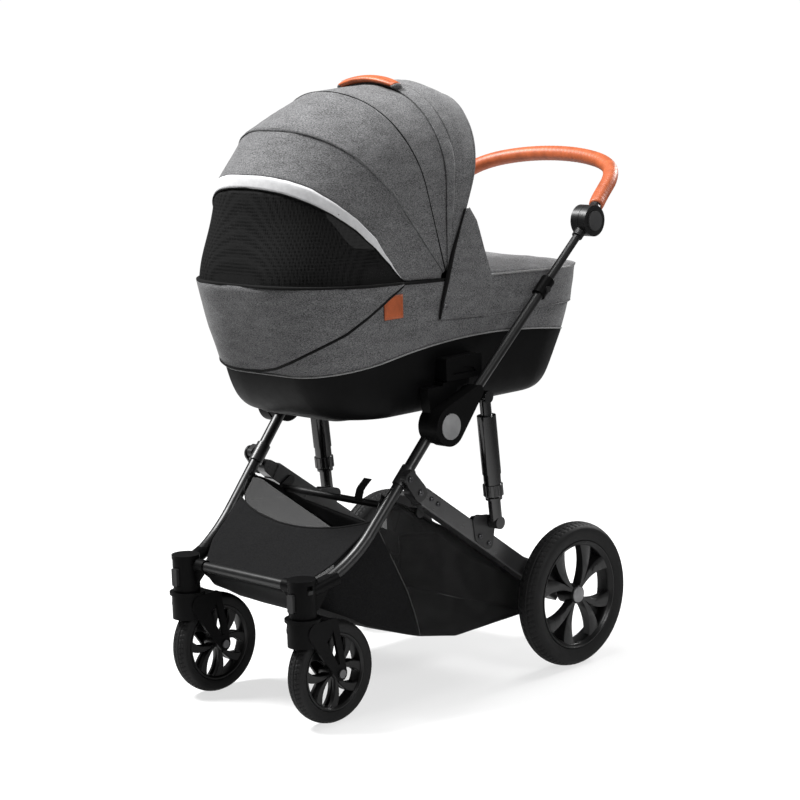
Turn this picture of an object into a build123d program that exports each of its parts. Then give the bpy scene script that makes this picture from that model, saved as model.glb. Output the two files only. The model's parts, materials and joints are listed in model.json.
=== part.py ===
from build123d import *
import os
from math import atan2, cos, degrees, radians, sin

os.makedirs("parts", exist_ok=True)

# A pram: folding chassis on four wheels, carrying a carrycot with a hood.
# Millimetres. -Y is the front, +Y the push handle, +X the pusher's left, +Z up.
# Side-view places are (Y, Z) with Y counted from the front caster stem.

STEM_Y = -449.52         # caster stem in the model frame, which centres the whole pram on Y

# Wheels and casters
REAR_R, REAR_TYRE_W, REAR_X = 145, 52, 261.6
REAR_AXLE = (640, 145)
REAR_RIM_R = 108
FRONT_R, FRONT_TYRE_W, FRONT_X = 98, 40, 163
FRONT_RIM_R = 73
TRAIL = 64
HOUSING_R, HOUSING_TOP, HOUSING_FOOT = 26, 285, 214
STEM_R = 8
FORK_GAP, FORK_ARM_T = 24.5, 6.5

# Front legs and the fold
LEG_R, LEG_WALL = 11, 1.6
LEG_FOOT = (172, 14, 263)
LEG_KNEE = (194, 150, 349)
HUB = (315, 530)
HUB_X = 208
HUB_R = 36
FIXED_OUT = 221.4        # outermost X of the leg side of the hub
TURN_IN = 222.6          # innermost X of the turning side of the hub
TURN_OUT = 250
CROSS_TUBE = (6, 266)

# Rear frame
BEAM_PIVOT = (253, 411)
BEAM_IN, BEAM_OUT = 193, 221
BEAM_H, BEAM_WALL = 36, 2
AXLE_R, STUB_R = 10, 6
CROSS_BAR = (285, 364)

# Suspension struts
STRUT_X = 236
STRUT_TOP = (424, 571)
STRUT_FOOT = (449, 321)
STRUT_ROD_R, STRUT_BODY_R = 11, 18.5

# Push handle
HANDLE_X = 240
HANDLE_START = (402, 595)
HANDLE_ANGLE = 41.0
OUTER_TUBE_R, INNER_TUBE_R = 9.5, 7.9
JOINT_R = 31
JOINT_DIST = 437         # from the handle's start to the angle joint
GRIP_ANGLE = 32.0
# (X, reach from the angle joint) along half of the grip's bent tube
GRIP_CURVE = [(234, 34), (223, 60), (214, 94), (205, 134), (184, 169), (150, 192), (104, 207),
              (54, 216), (0, 219)]
LEATHER_REACH = 48
GRIP_TUBE_R, LEATHER_R = 12, 15.5

# Carrycot: (height, half width, front, rear, corner radius) of its outline
COT_SECTIONS = [
    (551, 165, 157, 671, 80),
    (562, 184, 130, 704, 100),
    (592, 193, 101, 735, 120),
    (640, 199, 80, 765, 133),
    (720, 202, 48, 800, 143),
    (820, 203, 17, 827, 150),
]
TUB_WALL, FABRIC_WALL = 4, 5
RIM_FRONT, RIM_REAR = (17, 812), (827, 782)
SEAM_FRONT, SEAM_MID, SEAM_REAR = (60, 634), (380, 684), (800, 648)
ADAPTER_Y, ADAPTER_Z = (329, 427), (611, 655)

# Hood: nested shells that turn about one cross axis
HOOD_PIVOT = (365, 803)
HOOD_R, HOOD_HALF_W, HOOD_SHOULDER = 368, 198, 180
HOOD_SKIN, HOOD_STEP = 3, 4


def point(place, x=0.0):
    """A space point from a side-view place and its X."""
    return Vector(x, place[0], place[1])


def polar(place, angle, distance):
    """The side-view place at a distance and angle from another place."""
    turn = radians(angle)
    return (place[0] + distance * cos(turn), place[1] + distance * sin(turn))


def rod(start, end, radius):
    """A round bar between two space points."""
    start, end = Vector(*start), Vector(*end)
    run = end - start
    bar = Cylinder(radius, run.length, align=(Align.CENTER, Align.CENTER, Align.MIN))
    return Plane(start, z_dir=run) * bar


def cross_disc(place, x_from, x_to, radius):
    """A disc whose axis runs along X."""
    return rod(point(place, x_from), point(place, x_to), radius)


def side_hull(circles, x_from, x_to):
    """A plate whose side outline wraps circles given as (Y, Z, radius)."""
    edges = []
    for y, z, radius in circles:
        edges.extend((Pos(y, z) * Circle(radius)).edges())
    face = Plane.YZ.offset(x_from) * make_hull(edges)
    return extrude(face, abs(x_to - x_from), dir=(1, 0, 0))


def side_outline(points, x_from, x_to):
    """A plate with straight side edges."""
    face = make_face(Plane.YZ.offset(x_from) * Polyline(*points, close=True))
    return extrude(face, x_to - x_from, dir=(1, 0, 0))


def box_between(low, high):
    """A block from its lowest to its highest corner."""
    size = [b - a for a, b in zip(low, high)]
    return Pos(*low) * Box(*size, align=(Align.MIN, Align.MIN, Align.MIN))


def other_side(part):
    """The same part on the -X side."""
    return mirror(part, about=Plane.YZ)


def both_sides(part):
    """A node of two mirrored solids."""
    return Compound([*part.solids(), *other_side(part).solids()])


def save(part, name):
    """Write one node, moved into the model frame."""
    moved = Pos(0, STEM_Y, 0) * part
    export_step(moved, f"parts/{name}.step")


def save_pair(part, name):
    """Write a left node and its mirror as the right one."""
    save(part, f"{name}_left")
    save(other_side(part), f"{name}_right")


# ---------------------------------------------------------------- wheels

def tyre(radius, rim_radius, width, shoulder):
    """A tyre about the X axis, with a round tread and flat bead."""
    depth = radius - rim_radius
    section = Pos(rim_radius + depth / 2, 0) * RectangleRounded(depth, width, shoulder)
    ring = revolve(Plane.XZ * section, Axis.Z)
    return Rot(0, 90, 0) * ring


def spoked_rim(radius, lip_width, ring, spokes, swirl, hub_radius, hub_from, hub_to, face,
               bore, bore_length):
    """A rim built of a band, a bored hub and wedge spokes that span face along the axle."""
    band = Cylinder(radius, lip_width) - Cylinder(radius - ring, lip_width + 2)
    hub_length = hub_to - hub_from
    hub = Pos(0, 0, (hub_from + hub_to) / 2) * Cylinder(hub_radius, hub_length)
    reach = radius - ring / 2
    pieces = []
    for k in range(spokes):
        mid = 360 / spokes * k
        corners = [(hub_radius * 0.8, mid - 16), (hub_radius * 0.8, mid + 10)]
        corners += [(reach, mid + swirl + 9), (reach, mid + swirl - 9)]
        outline = [(r * cos(radians(a)), r * sin(radians(a))) for r, a in corners]
        wedge = make_face(Polyline(*outline, close=True))
        spoke = Pos(0, 0, face[0]) * extrude(wedge, face[1] - face[0])
        pieces.extend((spoke - band - hub).solids())
    hub -= Pos(0, 0, hub_from - 1) * Cylinder(
        bore, bore_length, align=(Align.CENTER, Align.CENTER, Align.MIN))
    return Rot(0, 90, 0) * Compound([*band.solids(), *hub.solids(), *pieces])


def make_rear_wheels():
    """Air tyre and eight-spoke rim of each rear wheel."""
    place = Pos(REAR_X, *REAR_AXLE)
    save_pair(place * tyre(REAR_R, REAR_RIM_R, REAR_TYRE_W, 16), "rear_tyre")
    rim = spoked_rim(REAR_RIM_R - 0.1, 40, 9, 8, 10, 22, -26, 24, (2, 16), STUB_R + 0.05, 47)
    save_pair(place * rim, "rear_rim")


def make_front_wheels():
    """Tyre and spoked rim of each caster wheel."""
    place = Pos(FRONT_X, TRAIL, FRONT_R)
    save_pair(place * tyre(FRONT_R, FRONT_RIM_R, FRONT_TYRE_W, 12), "front_tyre")
    rim = spoked_rim(FRONT_RIM_R - 0.1, 30, 7, 8, 10, 14, -22, 22, (-6, 10), 5.05, 46)
    save_pair(place * rim, "front_rim")


# ---------------------------------------------------------------- casters

def make_caster():
    """Yoke, stem and axle of one caster."""
    stem_top = HOUSING_TOP - 20
    flange_top = HOUSING_FOOT - 1
    body = Pos(FRONT_X, 0, 0) * rod((0, 0, 160), (0, 0, flange_top - 6), 30)
    body += rod((FRONT_X, 0, flange_top - 6), (FRONT_X, 0, flange_top), 34)
    body += rod((FRONT_X, 0, flange_top), (FRONT_X, 0, stem_top), STEM_R)
    body += side_hull([(20, 182, 20), (48, 196, 10)], FRONT_X - 30, FRONT_X + 30)
    wheel_room = FORK_GAP
    body -= cross_disc((TRAIL, FRONT_R), FRONT_X - wheel_room, FRONT_X + wheel_room, FRONT_R + 4)
    axle = (TRAIL, FRONT_R)
    arm = side_hull([(6, 186, 20), (50, 198, 9), (*axle, 14)], 0, FORK_ARM_T)
    window = side_outline([(46, 186), (26, 172), (57, 116), (61, 118)], -1, FORK_ARM_T + 1)
    arm -= window
    outer = Pos(FRONT_X + FORK_GAP, 0, 0) * arm
    inner = Pos(FRONT_X - FORK_GAP - FORK_ARM_T, 0, 0) * arm
    body += outer + inner
    reach = FORK_GAP + FORK_ARM_T
    body -= cross_disc(axle, FRONT_X - reach - 1, FRONT_X + reach + 1, 5)
    save_pair(body, "caster_fork")
    pin = cross_disc(axle, FRONT_X - reach, FRONT_X + reach, 5)
    pin += cross_disc(axle, FRONT_X + reach, FRONT_X + reach + 3.5, 8)
    pin += cross_disc(axle, FRONT_X - reach - 3.5, FRONT_X - reach, 8)
    save_pair(pin, "front_axle")


# ---------------------------------------------------------------- front frame

def make_leg_parts():
    """Leg tubes and cross tube. Gives the leg as a solid bar, and its bend."""
    straight = Line(Vector(*LEG_KNEE), point(HUB, HUB_X))
    tangent = (straight % 0) * -1
    bend = TangentArc(Vector(*LEG_KNEE), Vector(*LEG_FOOT), tangent=tangent)
    foot_plane = Plane(bend @ 1, z_dir=(bend % 1) * -1)
    reverse = Curve() + [bend, straight]
    bar = sweep(foot_plane * Circle(LEG_R), path=reverse)
    tube = sweep(foot_plane * (Circle(LEG_R) - Circle(LEG_R - LEG_WALL)), path=reverse)
    save_pair(tube, "front_leg")
    reach = FRONT_X - HOUSING_R - 4
    cross = rod((-reach, *CROSS_TUBE), (reach, *CROSS_TUBE), 9.5)
    cross -= rod((-reach - 1, *CROSS_TUBE), (reach + 1, *CROSS_TUBE), 8)
    save(cross, "front_cross_tube")
    return bar, bend


def make_housings(bar, bend):
    """Sockets for the caster stems, with webs, and the two buttons on each."""
    x = FRONT_X
    shell = rod((x, 0, HOUSING_FOOT), (x, 0, HOUSING_TOP), HOUSING_R)
    shell += rod((x, 0, HOUSING_TOP - 8), (x, 0, HOUSING_TOP), HOUSING_R + 1.2)
    inward = rod((x - 52, *CROSS_TUBE), (x, *CROSS_TUBE), 12.5)
    web = make_face(Plane.XZ * Polyline((x - 50, 256), (x - 22, 224), (x - 10, 262), close=True))
    inward += extrude(web, 8, dir=(0, 1, 0))
    foot = bend @ 1
    along = (bend % 1) * -1
    upward = rod(foot - along * 4, foot + along * 58, LEG_R + 3)
    upward += side_outline([(8, 222), (24, 226), (68, 280), (10, 262)], x + 10, x + 18)
    barrel = shell - bar - rod((x, 0, HOUSING_FOOT - 1), (x, 0, HOUSING_TOP - 18), STEM_R + 0.05)
    barrel -= box_between((x - 8, -40, 226), (x + 8, -19, 262))
    barrel -= box_between((x + 19, -9, 260), (x + 30, 3, 276))
    inward -= shell + rod((x - 60, *CROSS_TUBE), (x - HOUSING_R - 4, *CROSS_TUBE), 9.5)
    pieces = [*barrel.solids(), *inward.solids(), *(upward - shell - bar - inward).solids()]
    save_pair(Compound(pieces), "caster_housing")
    button = box_between((x - 7.4, -31, 227), (x + 7.4, -23, 261))
    save_pair(fillet(button.edges().filter_by(Axis.Y), 3), "wheel_release")
    lock = box_between((x + 20, -8.4, 260.5), (x + 28, 2.4, 268))
    save_pair(lock, "swivel_lock")


def make_brackets(bar):
    """Sleeves on the legs that carry the rear beams, and their rivets."""
    top = point(HUB, HUB_X)
    knee = Vector(*LEG_KNEE)
    run = (top - knee).normalized()
    mid = knee + run * 125
    body = rod(mid - run * 20, mid + run * 20, LEG_R + 3)
    plate_in = BEAM_OUT + 0.6
    body += side_hull([(*BEAM_PIVOT, 17), (230, 440, 15)], plate_in, plate_in + 4.4)
    body += side_hull([(226, 442, 9), (236, 448, 9)], HUB_X, plate_in + 1)
    body -= bar
    body -= cross_disc(BEAM_PIVOT, plate_in - 1, plate_in + 6, 4)
    body -= cross_disc((227, 441), plate_in - 1, plate_in + 6, 4)
    save(both_sides(body), "leg_brackets")
    rivets = []
    for place in (BEAM_PIVOT, (227, 441)):
        shank = cross_disc(place, plate_in, plate_in + 4.4, 4)
        rivets.append(shank + cross_disc(place, plate_in + 4.4, plate_in + 6.4, 6))
    save(both_sides(Compound(rivets)), "bracket_rivets")


def make_fold_hubs(bar):
    """Leg side of each hub, with the socket that holds the carrycot."""
    inner = 198.6
    body = cross_disc(HUB, inner, FIXED_OUT, HUB_R)
    arm = [(292, 545), (284, 603), (398, 603), (396, 600), (366, 597), (346, 545)]
    body += side_outline(arm, inner, FIXED_OUT)
    body += box_between((inner, 326, 602), (FIXED_OUT, 398, 609))
    body -= box_between((204.5, 337.5, 580), (216.5, 368.5, 612))
    body -= bar
    save_pair(body, "fold_hub")


# ---------------------------------------------------------------- rear frame

def beam_outline(half, start, end):
    """Side outline of a beam between two distances from its pivot."""
    angle = degrees(atan2(REAR_AXLE[1] - BEAM_PIVOT[1], REAR_AXLE[0] - BEAM_PIVOT[0]))
    a, b = polar(BEAM_PIVOT, angle, start), polar(BEAM_PIVOT, angle, end)
    return [polar(a, angle + 90, half), polar(b, angle + 90, half),
            polar(b, angle - 90, half), polar(a, angle - 90, half)]


def make_rear_frame():
    """Beams, axle, cross bar, strut feet and rivets, which swing as one."""
    length = 470
    beam = side_outline(beam_outline(BEAM_H / 2, 20, length + 12), BEAM_IN, BEAM_OUT)
    beam = fillet(beam.edges().filter_by(Axis.X, reverse=True).group_by(Axis.X)[-1], 3)
    beam -= side_outline(beam_outline(BEAM_H / 2 - BEAM_WALL, 34, length - 18),
                         BEAM_IN + BEAM_WALL, BEAM_OUT - BEAM_WALL)
    beam += side_hull([(*BEAM_PIVOT, 14), (*polar(BEAM_PIVOT, -34.5, 24), 16)],
                      BEAM_IN + 2, BEAM_OUT - 0.4)
    axle_bar = cross_disc(REAR_AXLE, 0, BEAM_OUT + 8, AXLE_R)
    beam -= axle_bar
    feet = strut_foot()
    save_pair(beam, "rear_beam")
    axle = cross_disc(REAR_AXLE, -BEAM_OUT - 8, BEAM_OUT + 8, AXLE_R)
    axle += cross_disc(REAR_AXLE, -REAR_X - 18, REAR_X + 18, STUB_R)
    save(axle, "rear_axle")
    bar = cross_disc(CROSS_BAR, -BEAM_IN, BEAM_IN, 7)
    plate = side_hull([(*CROSS_BAR, 11), (305, 377, 9)], BEAM_IN - 5, BEAM_IN)
    save(bar + plate + other_side(plate), "cross_bar")
    save(both_sides(feet), "strut_feet")
    rivets = []
    for place in ((287, 392), (304, 380)):
        rivets.append(cross_disc(place, BEAM_OUT, BEAM_OUT + 2, 5))
    for place in ((416, 297), (441, 279)):
        rivets.append(cross_disc(place, BEAM_OUT + 2.2, BEAM_OUT + 4, 5))
    save(both_sides(Compound(rivets)), "beam_rivets")


def strut_foot():
    """Hooked plate on the beam's face that carries the strut."""
    plate = side_hull([(409, 330, 11), (416, 297, 13), (441, 279, 12), (*STRUT_FOOT, 12)],
                      BEAM_OUT, BEAM_OUT + 2.2)
    block = side_hull([(410, 328, 9), (*STRUT_FOOT, 12), (436, 306, 10)], BEAM_OUT - 12, BEAM_OUT + 1)
    keep_out = side_outline(beam_outline(BEAM_H / 2, 20, 400), BEAM_IN, BEAM_OUT)
    return plate + (block - keep_out)


def make_brake():
    """Foot brake pedal, a lever on the rear axle."""
    sleeve = cross_disc(REAR_AXLE, -40, 40, 15)
    lever = box_between((-34, 640, 150), (34, 700, 157))
    lever += side_hull([(700, 153.5, 3.5), (706, 165, 3)], -34, 34)
    pedal = sleeve + lever
    pedal -= cross_disc(REAR_AXLE, -41, 41, AXLE_R + 0.05)
    save(pedal, "brake_pedal")


# ---------------------------------------------------------------- struts

def make_struts():
    """Sprung struts between the knuckles and the beams."""
    top, foot = point(STRUT_TOP, STRUT_X), point(STRUT_FOOT, STRUT_X)
    down = (foot - top).normalized()

    def span(start, end, radius):
        return rod(top + down * start, top + down * end, radius)

    eye = cross_disc(STRUT_TOP, STRUT_X - 12, STRUT_X + 12, 12)
    shaft = eye + span(4, 100, STRUT_ROD_R)
    shaft += cross_disc(STRUT_TOP, 206, STRUT_X, 5)
    save_pair(shaft, "strut_rod")
    body = span(37, 153, STRUT_BODY_R) + span(152, 175, STRUT_BODY_R - 1.5)
    body += span(174, 196, STRUT_BODY_R + 1.3)
    body += span(196, 200, 11) + span(200, 204, 16.5)
    body += span(204, 240, 12.5)
    body += cross_disc(STRUT_FOOT, STRUT_X - 12, STRUT_X + 12, 12.5)
    body += span(238, 251, 12.5) & box_between((STRUT_X - 12, 380, 280), (STRUT_X + 12, 480, 360))
    body -= span(30, 130, STRUT_ROD_R + 0.1)
    for k in range(14):
        offset = Plane(top, z_dir=down).x_dir * (STRUT_BODY_R + 1.9)
        turned = offset.rotate(Axis((0, 0, 0), down), 360 / 14 * k)
        body -= Pos(*turned) * span(172, 198, 1.6)
    save_pair(body, "strut_body")


# ---------------------------------------------------------------- push handle

def on_handle(distance, x=HANDLE_X):
    """A space point on the handle's axis."""
    return point(polar(HANDLE_START, HANDLE_ANGLE, distance), x)


def make_knuckles():
    """Turning side of each hub: handle socket, strut ear and round cap."""
    tip = polar(HANDLE_START, HANDLE_ANGLE, -10)
    body = side_hull([(*HUB, HUB_R + 2), (tip[0], tip[1] - 2, 12.5)], TURN_IN, TURN_OUT)
    body += side_hull([(388, 572, 14), (*STRUT_TOP, 13)], 208, TURN_IN + 0.6)
    body += side_hull([(384, 572, 12), (389, 586, 10)], 215, TURN_IN + 6)
    body -= rod(on_handle(-34), on_handle(40), OUTER_TUBE_R)
    body -= cross_disc(STRUT_TOP, 200, 230, 5.05)
    body -= cross_disc(HUB, TURN_OUT - 2, TURN_OUT + 1, 25)
    save_pair(body, "knuckle")
    cap = cross_disc(HUB, TURN_OUT - 2, TURN_OUT + 1.5, 24.8)
    save(both_sides(cap), "hub_caps")


def make_handle_tubes():
    """Telescopic tubes, their clamp sleeves and push buttons."""
    tube = rod(on_handle(-34), on_handle(262), OUTER_TUBE_R)
    tube -= rod(on_handle(-35), on_handle(263), OUTER_TUBE_R - 1.5)
    save(both_sides(tube), "handle_outer_tubes")
    sleeve = rod(on_handle(236), on_handle(276), 14)
    sleeve -= rod(on_handle(230), on_handle(262), OUTER_TUBE_R)
    sleeve -= rod(on_handle(260), on_handle(280), INNER_TUBE_R + 0.1)
    seat = polar(HANDLE_START, HANDLE_ANGLE, 252)
    sleeve -= cross_disc(seat, HANDLE_X + 9.8, HANDLE_X + 16, 6.3)
    save(both_sides(sleeve), "telescope_sleeves")
    button = cross_disc(seat, HANDLE_X + 12.6, HANDLE_X + 17, 6)
    save_pair(button, "telescope_button")
    joint = polar(HANDLE_START, HANDLE_ANGLE, JOINT_DIST)
    socket = JOINT_DIST - 44
    inner = rod(on_handle(130), on_handle(socket), INNER_TUBE_R)
    inner -= rod(on_handle(129), on_handle(socket + 1), INNER_TUBE_R - 1.5)
    eye = rod(on_handle(socket), on_handle(JOINT_DIST - 12), 11)
    eye -= cross_disc(joint, HANDLE_X + 0.4, HANDLE_X + 30, JOINT_R + 1)
    eye += cross_disc(joint, 222, HANDLE_X, JOINT_R)
    eye -= cross_disc(joint, 226, HANDLE_X + 1, 6.05)
    save_pair(Compound([*inner.solids(), *eye.solids()]), "handle_inner_tube")
    return joint


def grip_point(joint, x, reach):
    """A space point in the plane of the grip."""
    return point(polar(joint, GRIP_ANGLE, reach), x)


def make_grip(joint):
    """U-shaped grip with its joint halves, leather cover and joint buttons."""
    curve = GRIP_CURVE + [(-x, reach) for x, reach in reversed(GRIP_CURVE[:-1])]
    path = Spline(*[grip_point(joint, x, reach) for x, reach in curve])
    ring = Circle(GRIP_TUBE_R) - Circle(GRIP_TUBE_R - 2)
    tube = sweep(Plane(path @ 0, z_dir=path % 0) * ring, path=path)
    fixed_room = cross_disc(joint, 190, HANDLE_X + 0.6, JOINT_R + 1)
    half = cross_disc(joint, HANDLE_X + 1, 258, JOINT_R)
    half += rod(grip_point(joint, HANDLE_X + 6, 20), path @ 0.006, GRIP_TUBE_R)
    half -= fixed_room
    tube -= fixed_room + other_side(fixed_room)
    half += cross_disc(joint, 228, HANDLE_X + 2, 6)
    half -= cross_disc(joint, 252, 259, 20)
    save(tube + half + other_side(half), "grip_tube")
    part = (LEATHER_REACH - GRIP_CURVE[0][1]) / path.length
    covered = path.trim(part, 1 - part)
    wrap = Circle(LEATHER_R) - Circle(GRIP_TUBE_R + 0.1)
    save(sweep(Plane(covered @ 0, z_dir=covered % 0) * wrap, path=covered), "leather_grip")
    button = cross_disc(joint, 255.5, 261, 19.6)
    save_pair(button, "joint_button")


# ---------------------------------------------------------------- carrycot

def cot_body(inset):
    """The carrycot's outer form, or a smaller one inside it."""
    faces = []
    for height, half, front, rear, corner in COT_SECTIONS:
        outline = RectangleRounded(2 * (half - inset), rear - front - 2 * inset, corner - inset)
        lift = inset if height == COT_SECTIONS[0][0] else 0
        faces.append(Pos(0, (front + rear) / 2, height + lift) * outline)
    return loft(faces)


def rim_cut():
    """Everything above the sloping rim."""
    slope = (RIM_REAR[1] - RIM_FRONT[1]) / (RIM_REAR[0] - RIM_FRONT[0])
    front, rear = (-100, RIM_FRONT[1] - 117 * slope), (1000, RIM_REAR[1] + 173 * slope)
    return side_outline([front, rear, (1000, 1000), (-100, 1000)], -300, 300)


def below_seam():
    """Everything below the arched seam between tub and fabric."""
    arch = ThreePointArc(SEAM_FRONT, SEAM_MID, SEAM_REAR)
    frame = Polyline(SEAM_REAR, (1000, SEAM_REAR[1]), (1000, 400), (-200, 400),
                     (-200, SEAM_FRONT[1]), SEAM_FRONT)
    face = Plane.YZ.offset(-300) * make_face(arch.edges() + frame.edges())
    return extrude(face, 600, dir=(1, 0, 0))


def make_carrycot():
    """Moulded tub, fabric wall, mattress and the two side adapters."""
    outer = cot_body(0)
    lower = below_seam()
    tub = (outer & lower) - cot_body(TUB_WALL)
    save(tub, "carrycot_tub")
    wall = outer - cot_body(FABRIC_WALL) - rim_cut() - lower
    save(wall, "cot_wall")
    pad = Pos(0, 414, 557) * extrude(RectangleRounded(308, 490, 70), 26)
    save(fillet(pad.edges().group_by(Axis.Z)[-1], 9), "mattress")
    block = box_between((190, ADAPTER_Y[0], ADAPTER_Z[0]), (228, ADAPTER_Y[1], ADAPTER_Z[1]))
    block = fillet(block.edges().filter_by(Axis.X), 5)
    block += box_between((205, 338, 583), (216, 368, ADAPTER_Z[0] + 2))
    grip = side_outline([(345, 622), (352, 630), (378, 636), (404, 630), (411, 622)], 224, 229)
    save(both_sides(block - outer - grip), "cot_adapters")


def make_apron():
    """Foot cover over the rear half of the cot, with its skirt and side wings."""
    cover = cot_body(-4.2) - cot_body(-1)
    rear_half = side_outline([(400, 724), (1000, 712), (1000, 778), (400, 801)], -300, 300)
    skirt = cover & rear_half
    top = side_outline([(400, 799.2), (840, 782.6), (840, 795), (760, 806), (560, 816), (400, 814)],
                       -300, 300)
    plan = extrude(Pos(0, 422, 700) * RectangleRounded(2 * 207.2, 818.4, 154), 200)
    lid = top & plan
    wing = side_outline([(330, 735), (352, 800), (384, 850), (416, 926), (436, 912), (462, 850),
                         (480, 790), (470, 745), (460, 728)], 208.4, 211.6)
    link = box_between((206, 408, 740), (210, 470, 797))
    body = skirt + lid + wing + other_side(wing) + link + other_side(link)
    save(body, "apron")


# ---------------------------------------------------------------- hood

def filled_arch(step, inset, foot):
    """Rib-shaped face: straight sides under an elliptic crown."""
    width = HOOD_HALF_W + step * HOOD_STEP - inset
    height = HOOD_R + step * HOOD_STEP - inset
    crown = Pos(0, HOOD_SHOULDER) * Ellipse(width, height - HOOD_SHOULDER)
    crown &= Pos(0, HOOD_SHOULDER) * Rectangle(
        3 * width, 3 * height, align=(Align.CENTER, Align.MIN))
    sides = Pos(0, foot) * Rectangle(
        2 * width, HOOD_SHOULDER - foot, align=(Align.CENTER, Align.MIN))
    return crown + sides


def hood_sweep(face, start, end):
    """Turn a hood section between two angles, counted up from the front."""
    out = Vector(0, -cos(radians(start)), sin(radians(start)))
    base = Plane(point(HOOD_PIVOT), x_dir=(1, 0, 0), z_dir=Vector(1, 0, 0).cross(out))
    return revolve(base * face, Axis(point(HOOD_PIVOT), (-1, 0, 0)), end - start)


def hood_shell(step, start, end):
    """One thin hood panel."""
    band = filled_arch(step, 0, 14) - filled_arch(step, HOOD_SKIN, -40)
    return hood_sweep(band, start, end)


def hood_front():
    """Front hood panel, drawn in at its foot to meet the rim."""
    def form(inset, start, end):
        plan = RectangleRounded(400 - 2 * inset, 856 - 2 * inset, 152 - inset)
        column = extrude(Pos(0, 437, 780) * plan, 420)
        return hood_sweep(filled_arch(0, inset, 1), start, end) & column

    form_out = form(0, 2.5, 49)
    return form_out - form(HOOD_SKIN, 0.5, 52) - cross_disc(HOOD_PIVOT, -300, 300, 14)


def make_hood():
    """Three nested panels and the leather carry handle on the crown."""
    save(hood_front(), "hood_front")
    save(hood_shell(1, 46, 92), "hood_mid")
    save(hood_shell(2, 90, 117), "hood_rear")
    crown = HOOD_PIVOT[1] + HOOD_R + 2 * HOOD_STEP
    place = HOOD_PIVOT[0] + 21
    arc = ThreePointArc((-72, place, crown - 9), (0, place, crown + 1), (72, place, crown - 9))
    bar = sweep(Plane(arc @ 0, z_dir=arc % 0) * Circle(8), path=arc)
    save(bar - hood_sweep(filled_arch(2, 0, 14), 80, 117), "carry_handle")


# ---------------------------------------------------------------- basket

def make_basket():
    """Shopping basket between the legs, open at the top."""
    side = [(14, 250), (60, 214), (110, 190), (150, 168), (285, 119), (385, 98), (575, 101), (604, 206),
            (330, 334), (212, 340), (186, 389), (137, 341), (20, 262)]
    hollow = [(26, 255), (62, 218), (112, 194), (151, 172), (286, 123), (385, 102), (572, 105), (599, 204),
              (640, 330), (330, 460), (204, 460), (196, 380), (141, 330)]
    plan = [(132, 0), (134, 34), (164, 74), (180, 150), (187, 230), (187, 640)]

    def bounded(outline, half, margin):
        inner = [(x - margin, y) for x, y in plan]
        ring = inner + [(-x, y) for x, y in reversed(inner)]
        column = extrude(make_face(Polyline(*ring, close=True)), 500)
        return side_outline(outline, -half, half) & column

    body = bounded(side, 200, 0) - bounded(hollow, 200, 3)
    dip = extrude(Plane.XZ.offset(-215) * (Pos(0, 398) * Ellipse(168, 62)), 215, dir=(0, -1, 0))
    save(body - dip, "basket")


# ---------------------------------------------------------------- build

def main():
    """Write every node."""
    bar, bend = make_leg_parts()
    make_housings(bar, bend)
    make_brackets(bar)
    make_fold_hubs(bar)
    make_caster()
    make_front_wheels()
    make_rear_wheels()
    make_rear_frame()
    make_brake()
    make_struts()
    make_knuckles()
    joint = make_handle_tubes()
    make_grip(joint)
    make_carrycot()
    make_apron()
    make_hood()
    make_basket()


main()
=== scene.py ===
import bpy
import json
import numpy as np
from math import cos, pi, radians, sin
from mathutils import Matrix, Vector, noise


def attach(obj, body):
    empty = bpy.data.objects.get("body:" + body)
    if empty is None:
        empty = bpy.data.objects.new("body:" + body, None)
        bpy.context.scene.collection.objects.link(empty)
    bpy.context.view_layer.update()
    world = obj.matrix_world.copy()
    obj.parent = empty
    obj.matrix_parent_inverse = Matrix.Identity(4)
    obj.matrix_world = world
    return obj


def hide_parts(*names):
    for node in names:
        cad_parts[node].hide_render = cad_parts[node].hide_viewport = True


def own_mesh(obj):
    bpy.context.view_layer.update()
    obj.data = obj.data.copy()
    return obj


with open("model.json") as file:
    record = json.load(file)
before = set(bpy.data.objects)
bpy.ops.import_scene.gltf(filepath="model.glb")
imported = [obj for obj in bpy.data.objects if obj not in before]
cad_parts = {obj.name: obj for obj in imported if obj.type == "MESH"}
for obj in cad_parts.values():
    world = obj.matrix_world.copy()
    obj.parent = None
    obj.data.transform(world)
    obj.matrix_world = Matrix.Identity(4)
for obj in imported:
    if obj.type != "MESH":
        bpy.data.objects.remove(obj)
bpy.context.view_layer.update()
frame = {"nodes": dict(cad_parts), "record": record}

# Places are in millimetres from the front caster stem, as in the CAD source, then moved by STEM_Y.
STEM_Y = -449.52
SIDES = (("left", 1), ("right", -1))


def metres(points):
    """Stem-frame millimetres to frame metres."""
    a = np.array(points, float).reshape(-1, 3)
    return (a + [0, STEM_Y, 0]) / 1000


def smooth(t):
    t = np.clip(t, 0, 1)
    return t * t * (3 - 2 * t)


# ---- materials

def nodes_of(name):
    mat = bpy.data.materials.new(name)
    mat.use_nodes = True
    tree = mat.node_tree
    return mat, tree, tree.nodes["Principled BSDF"]


def add(tree, kind, **values):
    node = tree.nodes.new(kind)
    for key, value in values.items():
        if hasattr(node, key):
            setattr(node, key, value)
        else:
            node.inputs[key.replace("_", " ")].default_value = value
    return node


def coordinates(tree, scale):
    """Object coordinates, stretched."""
    co = tree.nodes.new("ShaderNodeTexCoord")
    mapping = tree.nodes.new("ShaderNodeMapping")
    mapping.inputs["Scale"].default_value = scale
    tree.links.new(co.outputs["Object"], mapping.inputs["Vector"])
    return mapping.outputs["Vector"]


def noise_node(tree, scale, stretch=(1, 1, 1), detail=3.0, rough=0.55):
    node = add(tree, "ShaderNodeTexNoise", Scale=scale, Detail=detail, Roughness=rough)
    tree.links.new(coordinates(tree, stretch), node.inputs["Vector"])
    return node.outputs["Fac"]


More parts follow.
